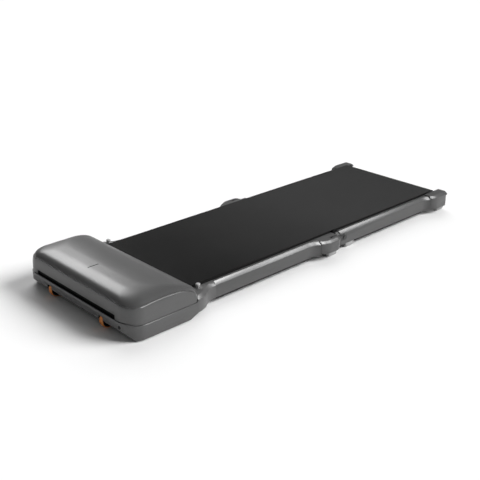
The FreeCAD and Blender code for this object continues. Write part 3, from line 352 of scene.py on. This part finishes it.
finish("grey_shell", grain, 900, greys(0.085, 0.10), (0.33, 0.40), (0.10, 0.0002), metallic=0.2)
finish("anodised_rail", drawn, 700, greys(0.08, 0.105), (0.32, 0.40), (0.08, 0.0002), metallic=0.25)
finish("black_plastic", grain, 1200, greys(0.007, 0.012), (0.45, 0.6), (0.2, 0.0002), specular=0.25)
finish("smoked_window", grain, 400, greys(0.001, 0.002), (0.3, 0.4), (0.02, 0.0001), specular=0.02)
finish("bare_steel", drawn, 900, greys(0.45, 0.6), (0.25, 0.4), (0.05, 0.0001), metallic=1.0)
finish("frame_paint", grain, 600, greys(0.03, 0.045), (0.4, 0.55), (0.25, 0.0003))
finish("motor_paint", grain, 500, greys(0.02, 0.03), (0.3, 0.45), (0.15, 0.0002))
finish("flywheel_iron", grain, 500, greys(0.12, 0.2), (0.4, 0.6), (0.3, 0.0003), metallic=0.9)
finish("cast_aluminium", grain, 700, greys(0.5, 0.62), (0.3, 0.5), (0.2, 0.0002), metallic=1.0)
# The belt's tone range carries the painted shade: near black by the housing, paler towards the rear.
finish("belt_rubber", weave, 260, greys(0.002, 0.042), (0.42, 0.60), (0.25, 0.0003), specular=0.03)
finish("pale_rubber", grain, 700, greys(0.30, 0.40), (0.55, 0.7), (0.2, 0.0002))
finish("cushion_rubber", grain, 700, greys(0.015, 0.025), (0.6, 0.75), (0.2, 0.0002))
finish("deck_board", drawn, 300, greys(0.008, 0.014), (0.5, 0.7), (0.2, 0.0002), specular=0.2)
finish("circuit_board", grain, 900, green, (0.3, 0.5), (0.2, 0.0002))
finish("orange_tread", grain, 800, orange, (0.4, 0.55), (0.2, 0.0002))
finish("studio_floor", grain, 40, greys(0.90, 0.92), (0.85, 0.9), (0.0, 0.0001), specular=0.1)
floor_mesh.materials.append(finishes["studio_floor"])
print("finishes:", len(finishes))

# %% [markdown]
# ### Finishes on the nodes
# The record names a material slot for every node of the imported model. Each node gets the finish of that
# name, so that pieces which aren't modelled again below, such as motor, tubes and rollers, are dressed by
# this alone.

# %% Finishes on the nodes
for subpart in frame["record"]["subparts"]:
    mesh = nodes[subpart["node"]].data
    mesh.materials.clear()
    mesh.materials.append(finishes[subpart["material_slot"]])

# %% [markdown]
# ## Turning a shape into a piece
# Each piece below is drawn with mesh operators in a scratch shape. One helper turns that shape into an
# object, shades it, gives it its finish, sets it on the body that carries it and hides the CAD nodes that
# it stands for.

# %% Piece maker
crease = math.radians(35)


def make_piece(name, shape, finish_name, body, stands_for):
    mesh = bpy.data.meshes.new(name)
    shape.to_mesh(mesh)
    shape.free()
    mesh.shade_smooth()
    mesh.set_sharp_from_angle(angle=crease)
    mesh.materials.append(finishes[finish_name])
    piece = bpy.data.objects.new(name, mesh)
    bpy.context.scene.collection.objects.link(piece)
    if body:
        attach(piece, body)
    if stands_for:
        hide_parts(*stands_for)
    print(name, len(mesh.polygons), "faces")
    return piece


# %% [markdown]
# ## Walking belt
# The belt is one loop of woven fabric with a rubber face, bent round two rollers. One closed mesh
# couldn't follow both the fold and the tension screws, so it is drawn as three strips. A strip starts as
# an edge right across the belt, which the spin operator draws along its path: straight runs and round
# turns alike, with close steps where the strip has to bend.

# %% Belt helpers
belt_low, belt_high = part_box("walking_belt")
belt_half = belt_high.x
belt_thickness = 0.0016
loop_radius = (belt_high.z - belt_low.z) / 2
loop_z = (belt_high.z + belt_low.z) / 2
front_turn_y = belt_low.y + loop_radius
rear_turn_y = belt_high.y - loop_radius
turn_steps = 18
same_point = 1e-6


def across_belt(shape, y, z):
    """One edge right across the belt, where a strip starts."""
    ends = [shape.verts.new((x, y, z)) for x in (-belt_half, belt_half)]
    return [shape.edges.new(ends)]


def last_edges(made):
    return [part for part in made["geom_last"] if isinstance(part, bmesh.types.BMEdge)]


def run(shape, edges, length, steps):
    """Draws the strip straight on along the length."""
    made = bmesh.ops.spin(shape, geom=edges, cent=(0, 0, 0), axis=(1, 0, 0), angle=0, steps=steps,
                          dvec=(0, length / steps, 0))
    return last_edges(made)


def turn(shape, edges, y, angle):
    """Draws the strip round a roller."""
    made = bmesh.ops.spin(shape, geom=edges, cent=(0, y, loop_z), axis=(1, 0, 0), angle=angle,
                          steps=turn_steps, dvec=(0, 0, 0))
    return last_edges(made)


def thicken_inwards(shape):
    """Faces point out of the loop, then the strip gets its thickness inwards."""
    bmesh.ops.remove_doubles(shape, verts=shape.verts, dist=same_point)
    inward = []
    for face in shape.faces:
        face.normal_update()
        middle = face.calc_center_median()
        heart = Vector((0, min(max(middle.y, front_turn_y), rear_turn_y), loop_z))
        if face.normal.dot(Vector((0, middle.y, middle.z)) - heart) < 0:
            inward.append(face)
    bmesh.ops.reverse_faces(shape, faces=inward)
    bmesh.ops.solidify(shape, geom=shape.faces[:], thickness=belt_thickness)


# %% [markdown]
# ### The three strips
# The first strip goes round the front roller and bends from the front half onto the hinge links. The
# second one is flat above and below, and bends from the links onto the rear half. The third goes round
# the rear roller, where the belt stretches as the rear axle is tensioned.

# %% The three strips
joint_at = {joint["name"]: Vector(joint["pos_m"]) for joint in frame["joints"] if joint.get("pos_m")}
front_pivot_y = joint_at["fold_front"].y
rear_pivot_y = joint_at["fold_rear"].y
fold_y = (front_pivot_y + rear_pivot_y) / 2
splice_y = 0.35
slack_length = 0.08
slack_y = rear_turn_y - slack_length
bend_steps = 14
run_steps = 6

front_strip = bmesh.new()
edge = across_belt(front_strip, fold_y, belt_low.z)
edge = run(front_strip, edge, front_pivot_y - fold_y, bend_steps)
edge = run(front_strip, edge, front_turn_y - front_pivot_y, run_steps)
edge = turn(front_strip, edge, front_turn_y, -math.pi)
edge = run(front_strip, edge, front_pivot_y - front_turn_y, run_steps)
run(front_strip, edge, fold_y - front_pivot_y, bend_steps)
thicken_inwards(front_strip)
belt_front = make_piece("belt_front", front_strip, "belt_rubber", None, ["walking_belt"])
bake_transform(belt_front)

middle_strip = bmesh.new()
for level in (belt_low.z, belt_high.z):
    edge = across_belt(middle_strip, fold_y, level)
    edge = run(middle_strip, edge, rear_pivot_y - fold_y, bend_steps)
    run(middle_strip, edge, splice_y - rear_pivot_y, run_steps)
thicken_inwards(middle_strip)
belt_middle = make_piece("belt_middle", middle_strip, "belt_rubber", None, ["walking_belt"])
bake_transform(belt_middle)

rear_strip = bmesh.new()
edge = across_belt(rear_strip, splice_y, belt_high.z)
edge = run(rear_strip, edge, slack_y - splice_y, run_steps)
edge = run(rear_strip, edge, rear_turn_y - slack_y, bend_steps)
edge = turn(rear_strip, edge, rear_turn_y, -math.pi)
edge = run(rear_strip, edge, slack_y - rear_turn_y, bend_steps)
run(rear_strip, edge, splice_y - slack_y, run_steps)
thicken_inwards(rear_strip)
belt_rear = make_piece("belt_rear", rear_strip, "belt_rubber", None, ["walking_belt"])
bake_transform(belt_rear)

# %% [markdown]
# ## Transport wheels
# Each wheel has a soft orange tread with a groove round its middle, moulded over a black hub. The hub
# runs out to just under the top of the tread, so the wheel's sides are black: partly the hub's own colour,
# partly painted shade on the sides. Cutting grooves and dishes into cylinders would take several steps.
# Both are turned parts, so their outlines are drawn once and spun right round the axle.

# %% Transport wheels
def spun(shape, points, centre, axis, steps):
    """A closed outline spun right round an axis."""
    corners = [shape.verts.new(point) for point in points]
    outline = [shape.edges.new(pair) for pair in zip(corners, corners[1:] + corners[:1])]
    bmesh.ops.spin(shape, geom=outline, cent=centre, axis=axis, angle=math.tau, steps=steps, use_merge=True)
    bmesh.ops.remove_doubles(shape, verts=shape.verts, dist=same_point)
    bmesh.ops.recalc_face_normals(shape, faces=shape.faces)


wheel_steps = 64
# Distance from the middle of the width and radius, for one half of the outline, from the inside out.
tread_half = [(0.0062, 0.0186), (0.0076, 0.0192), (0.0079, 0.0201), (0.0070, 0.0213), (0.0050, 0.0220),
              (0.0014, 0.0220), (0.0007, 0.0211)]
# The hub reaches almost to the tread's top, so its black is partly painted shade on the wheel's sides.
hub_half = [(0.0065, 0.0043), (0.0078, 0.0055), (0.0078, 0.0080), (0.0050, 0.0088), (0.0044, 0.0132),
            (0.0074, 0.0146), (0.0084, 0.0160), (0.0084, 0.0186), (0.0078, 0.0193), (0.0060, 0.0193)]

for side in ("right", "left"):
    centre = joint_at[f"wheel_{side}_spin"]
    body = f"wheel_{side}"
    node = f"transport_wheel_{side}"
    for label, half, slot in (("tread", tread_half, "orange_tread"), ("hub", hub_half, "black_plastic")):
        both = half + [(-offset, radius) for offset, radius in reversed(half)]
        wheel = bmesh.new()
        points = [centre + Vector((offset, 0, radius)) for offset, radius in both]
        spun(wheel, points, centre, (1, 0, 0), wheel_steps)
        make_piece(f"wheel_{label}_{side}", wheel, slot, body, [node])

# %% [markdown]
# ## Fold bumpers
# The two bumpers on the shoulders are soft mushroom studs, pressed into holes, where the folded half comes
# down. They are turned shapes too: a neck, the flat underside of the head and its rounded rim.

# %% Fold bumpers
stud_low, stud_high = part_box("fold_bumpers")
stud_radius = (stud_high.y - stud_low.y) / 2
stud_y = (stud_high.y + stud_low.y) / 2
stud_x = stud_high.x - stud_radius
stud_bore = 0.0005
neck_radius = 0.0046
head_depth = 0.0062
head_low = stud_high.z - head_depth
small_steps = 40
# Radius and height, from the foot of the neck up to the middle of the head.
stud_profile = [(stud_bore, stud_low.z), (neck_radius, stud_low.z), (neck_radius, head_low - 0.001),
                (stud_radius - 0.001, head_low), (stud_radius, head_low + 0.001),
                (stud_radius, stud_high.z - 0.0026), (stud_radius - 0.0012, stud_high.z - 0.0009),
                (stud_radius - 0.003, stud_high.z), (stud_bore, stud_high.z)]

studs = bmesh.new()
for sign in (1, -1):
    centre = Vector((sign * stud_x, stud_y, 0))
    points = [centre + Vector((radius, 0, z)) for radius, z in stud_profile]
    spun(studs, points, centre, (0, 0, 1), small_steps)
make_piece("bumper_studs", studs, "pale_rubber", "front", ["fold_bumpers"])

# %% [markdown]
# ## Feet
# The feet are pale rubber blocks with rounded corners and a hollow sole that grips the floor. Each starts
# as a box whose sole is drawn in. Then its edges are rounded, and the sole is inset and pushed up. Under
# the housing there are two flat discs with a hollow sole, which are turned.

# %% Feet
foot_length = 0.042
foot_width = 0.024
sole_share = Vector((0.84, 0.90, 1))
sole_rim = 0.0035
sole_depth = 0.0015
foot_round = 0.003
hinge_foot_inset = 0.0075
disc_x = 0.2045
disc_y = -0.560
# Radius and height of the disc, round its section.
disc_profile = [(0.0005, 0.0015), (0.0105, 0.0015), (0.0112, 0), (0.0140, 0), (0.0150, 0.0010),
                (0.0150, 0.0040), (0.0005, 0.0040)]


def add_foot(shape, x, y, top):
    size = Matrix.Diagonal((foot_width, foot_length, top, 1))
    place = Matrix.Translation((x, y, top / 2))
    made = bmesh.ops.create_cube(shape, size=1, matrix=place @ size)["verts"]
    faces = {face for vert in made for face in vert.link_faces}
    sole = min(faces, key=lambda face: face.calc_center_median().z)
    around = Matrix.Translation((-x, -y, 0))
    bmesh.ops.scale(shape, verts=sole.verts, vec=sole_share, space=around)
    corners = [edge for edge in shape.edges if all(end in made for end in edge.verts)]
    bmesh.ops.bevel(shape, geom=corners, offset=foot_round, affect="EDGES", segments=3, profile=0.5,
                    material=-1)
    sole = min(shape.faces, key=lambda face: (face.calc_center_median() - Vector((x, y, 0))).length)
    bmesh.ops.inset_region(shape, faces=[sole], thickness=sole_rim, depth=-sole_depth)


front_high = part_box("front_feet")[1]
rear_low, rear_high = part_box("rear_feet")
foot_x = front_high.x - foot_width / 2
hinge_foot_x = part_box("rear_tube_right")[0].x - hinge_foot_inset + foot_width / 2
front_feet = bmesh.new()
rear_feet = bmesh.new()
for sign in (1, -1):
    add_foot(front_feet, sign * foot_x, front_high.y - foot_length / 2, front_high.z)
    add_foot(rear_feet, sign * hinge_foot_x, rear_low.y + foot_length / 2, rear_high.z)
    add_foot(rear_feet, sign * foot_x, rear_high.y - foot_length / 2, rear_high.z)
    centre = Vector((sign * disc_x, disc_y, 0))
    points = [centre + Vector((radius, 0, z)) for radius, z in disc_profile]
    spun(front_feet, points, centre, (0, 0, 1), small_steps)
make_piece("front_foot_pads", front_feet, "pale_rubber", "front", ["front_feet"])
make_piece("rear_foot_pads", rear_feet, "pale_rubber", "rear", ["rear_feet"])

# %% [markdown]
# ## Display window
# Behind the slot in the front band sits one long black plate with a step that fills the slot, so that
# only a dark line shows. Two boxes would leave a hidden wall between them. Instead the plate is cut where
# the step ends, and the face between the cuts is drawn forward.

# %% Display window
plate_low, plate_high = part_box("display_window")
step_end = 0.1897
step_height = 0.0128
step_top = plate_low.z + step_height
step_front = -0.7170
step_round = 0.0005
step_turn = 0.5
near_front = 1e-5

window = bmesh.new()
middle = (plate_low + plate_high) / 2
size = Matrix.Diagonal((*(plate_high - plate_low), 1))
bmesh.ops.create_cube(window, size=1, matrix=Matrix.Translation(middle) @ size)
cuts = [((step_end, 0, 0), (1, 0, 0)), ((-step_end, 0, 0), (1, 0, 0)), ((0, 0, step_top), (0, 0, 1))]
for point, normal in cuts:
    everything = window.verts[:] + window.edges[:] + window.faces[:]
    bmesh.ops.bisect_plane(window, geom=everything, plane_co=point, plane_no=normal)
front_low = Vector((0, plate_low.y, plate_low.z))
slot_face = min(window.faces, key=lambda face: (face.calc_center_median() - front_low).length)
made = bmesh.ops.extrude_face_region(window, geom=[slot_face])
step = [part for part in made["geom"] if isinstance(part, bmesh.types.BMVert)]
bmesh.ops.translate(window, verts=step, vec=(0, step_front - plate_low.y, 0))
bmesh.ops.recalc_face_normals(window, faces=window.faces)
turned = [edge for edge in window.edges if edge.is_manifold and edge.calc_face_angle() > step_turn]
rim = [edge for edge in turned if min(end.co.y for end in edge.verts) < step_front + near_front]
bmesh.ops.bevel(window, geom=rim, offset=step_round, affect="EDGES", segments=2, profile=0.5, material=-1)
make_piece("window_insert", window, "smoked_window", "front", ["display_window"])

# %% [markdown]
# ## Power button
# The button is a small black cap with a dished face for the fingertip and a stem behind it. A dish is a
# turned shape, so one outline spun round the button's own axis gives cap and stem together.

# %% Power button
cap_low, cap_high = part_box("power_button")
cap_radius = (cap_high.x - cap_low.x) / 2
cap_depth = 0.0090
stem_radius = 0.0025
stem_back = cap_high.y - cap_low.y
stem_bore = 0.0002
cap_centre = Vector(((cap_low.x + cap_high.x) / 2, cap_low.y, (cap_low.z + cap_high.z) / 2))
# Radius and depth behind the front, from the middle of the dish round to the back of the stem.
cap_profile = [(stem_bore, 0.0013), (0.0018, 0.0011), (0.0030, 0.0006), (0.0037, 0),
               (cap_radius - 0.0006, 0.0001), (cap_radius, 0.0007), (cap_radius, cap_depth),
               (stem_radius, cap_depth), (stem_radius, stem_back), (stem_bore, stem_back)]

cap = bmesh.new()
points = [cap_centre + Vector((radius, depth, 0)) for radius, depth in cap_profile]
spun(cap, points, cap_centre, (0, 1, 0), small_steps)
make_piece("button_cap", cap, "black_plastic", "power_button", ["power_button"])

# %% [markdown]
# ## Moulded and pressed shells
# The cover, band, tray, rails, hinge blocks and end caps have their full shape in the CAD model already,
# but with knife edges. A real moulding has small radii that catch the light. Drawing the shells again
# would only repeat the CAD model, so a copy of each has its loose triangles merged, its flat areas joined
# into single faces and its outward edges rounded. Zones say which edges: they keep clear of fine ribs,
# slots and mating faces.

# %% Shell helpers
edge_round = 0.0006
rim_width = 0.0018
sharp_turn = math.radians(28)
flat_turn = math.radians(0.05)
shell_weld = 1e-5


def zone(reach=0, front=-1, rear=1, low=0, high=1):
    """Least distance from the middle plane, then limits of length and of height."""
    return reach, front, rear, low, high


def in_zone(edge, limits):
    reach, front, rear, low, high = limits
    return all(abs(end.co.x) >= reach and front < end.co.y < rear and low < end.co.z < high
               for end in edge.verts)


def soften(shape, zones, radius, segments):
    """Rounds the outward sharp edges that lie in one of the zones."""
    turned = [edge for edge in shape.edges
              if edge.is_manifold and edge.is_convex and edge.calc_face_angle() > sharp_turn]
    sharp = [edge for edge in turned if any(in_zone(edge, limits) for limits in zones)]
    bmesh.ops.bevel(shape, geom=sharp, offset=radius, offset_type="OFFSET", affect="EDGES",
                    segments=segments, profile=0.5, material=-1)


def softened_copy(node, finish_name, body, zones, rim=None):
    """A copy of a shell with its sharp edges rounded, and with a wider flat chamfer along a rim."""
    shape = bmesh.new()
    shape.from_mesh(nodes[node].data)
    bmesh.ops.remove_doubles(shape, verts=shape.verts, dist=shell_weld)
    bmesh.ops.dissolve_limit(shape, angle_limit=flat_turn, verts=shape.verts, edges=shape.edges)
    if rim:
        soften(shape, [rim], rim_width, 1)
    soften(shape, zones, edge_round, 2)
    return make_piece(f"{node}_shell", shape, finish_name, body, [node])


# %% [markdown]
# ### Housing, rails and hinge covers
# On the sides of the housing, the arch of the band and the ledge of the tray shine as fine bright lines. A
# flat chamfer along these rims mirrors a soft box at one angle, which a small radius can't do. On the hinge
# blocks the rounding keeps clear of the slot that their link swings in, so that the slot keeps its sides.

# %% Housing, rails and hinge covers
under_dome = [zone(high=0.112)]
ahead_of_rear_wall = [zone(rear=-0.49)]
arch_rim = zone(reach=0.2485, front=-0.68, rear=-0.49, low=0.09)
ahead_of_rails = [zone(rear=-0.41)]
ledge_rim = zone(reach=0.2545, front=-0.68, rear=-0.4975, low=0.04, high=0.0495)
upper_rail = [zone(low=0.03)]
clear_of_slot = [zone(rear=0.0813), zone(reach=0.2345)]
end_cap_top = [zone(low=0.0555)]

cover = softened_copy("top_cover", "grey_shell", "front", under_dome)
softened_copy("fascia_band", "grey_shell", "front", ahead_of_rear_wall, arch_rim)
softened_copy("base_tray", "grey_shell", "front", ahead_of_rails, ledge_rim)
for side in ("right", "left"):
    softened_copy(f"front_rail_{side}", "anodised_rail", "front", upper_rail)
    softened_copy(f"hinge_block_{side}", "grey_shell", "front", clear_of_slot)
    softened_copy(f"rear_rail_{side}", "anodised_rail", "rear", upper_rail)
    softened_copy(f"end_cap_{side}", "grey_shell", "rear", end_cap_top)

# %% [markdown]
# ## Painted shade under the rails
# A thin black line runs under the straight part of every rail, where the rail's lower edge throws its shade.
# It is painted as shade with a black strip against the underside of each rail. Each strip is a box with
# rounded edges, set just inside the rail's outer edge. The rear strips start behind the feet at the hinge.

# %% Painted shade under the rails
shade_strip_outer = 0.2212
shade_strip_width = 0.0036
shade_strip_drop = 0.0045
shade_strip_round = 0.0006
shade_strip_spans = {"front": (-0.392, -0.006), "rear": (0.2185, 0.589)}
rail_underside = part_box("front_rail_right")[0].z

# Painted shade: each black strip stands in for the shade under a rail's lower edge.
for half, (strip_start, strip_end) in shade_strip_spans.items():
    for side, sign in (("right", 1), ("left", -1)):
        shade_strip = bmesh.new()
        size = Matrix.Diagonal((shade_strip_width, strip_end - strip_start, shade_strip_drop, 1))
        shade_strip_x = sign * (shade_strip_outer - shade_strip_width / 2)
        middle = (shade_strip_x, (strip_start + strip_end) / 2, rail_underside - shade_strip_drop / 2)
        bmesh.ops.create_cube(shade_strip, size=1, matrix=Matrix.Translation(middle) @ size)
        bmesh.ops.bevel(shade_strip, geom=shade_strip.edges[:], offset=shade_strip_round, affect="EDGES", segments=2, profile=0.5,
                        material=-1)
        make_piece(f"rail_shade_strip_{half}_{side}", shade_strip, "black_plastic", half, None)

# %% [markdown]
# ## Two boxes kept off the cover
# The boxes that light the rails and the hinge would leave pale blots on the broad cover. A photographer
# would hold a card in between. Here light linking does the same: the cover is left out of what these two
# boxes reach.

# %% Two boxes kept off the cover
shaded = bpy.data.collections.new("shaded_from_boxes")
shaded.objects.link(cover)
shaded.collection_objects[0].light_linking.link_state = "EXCLUDE"
for lamp in (strip_box, edge_box):
    lamp.light_linking.receiver_collection = shaded
    print(lamp.name, "leaves out", cover.name)
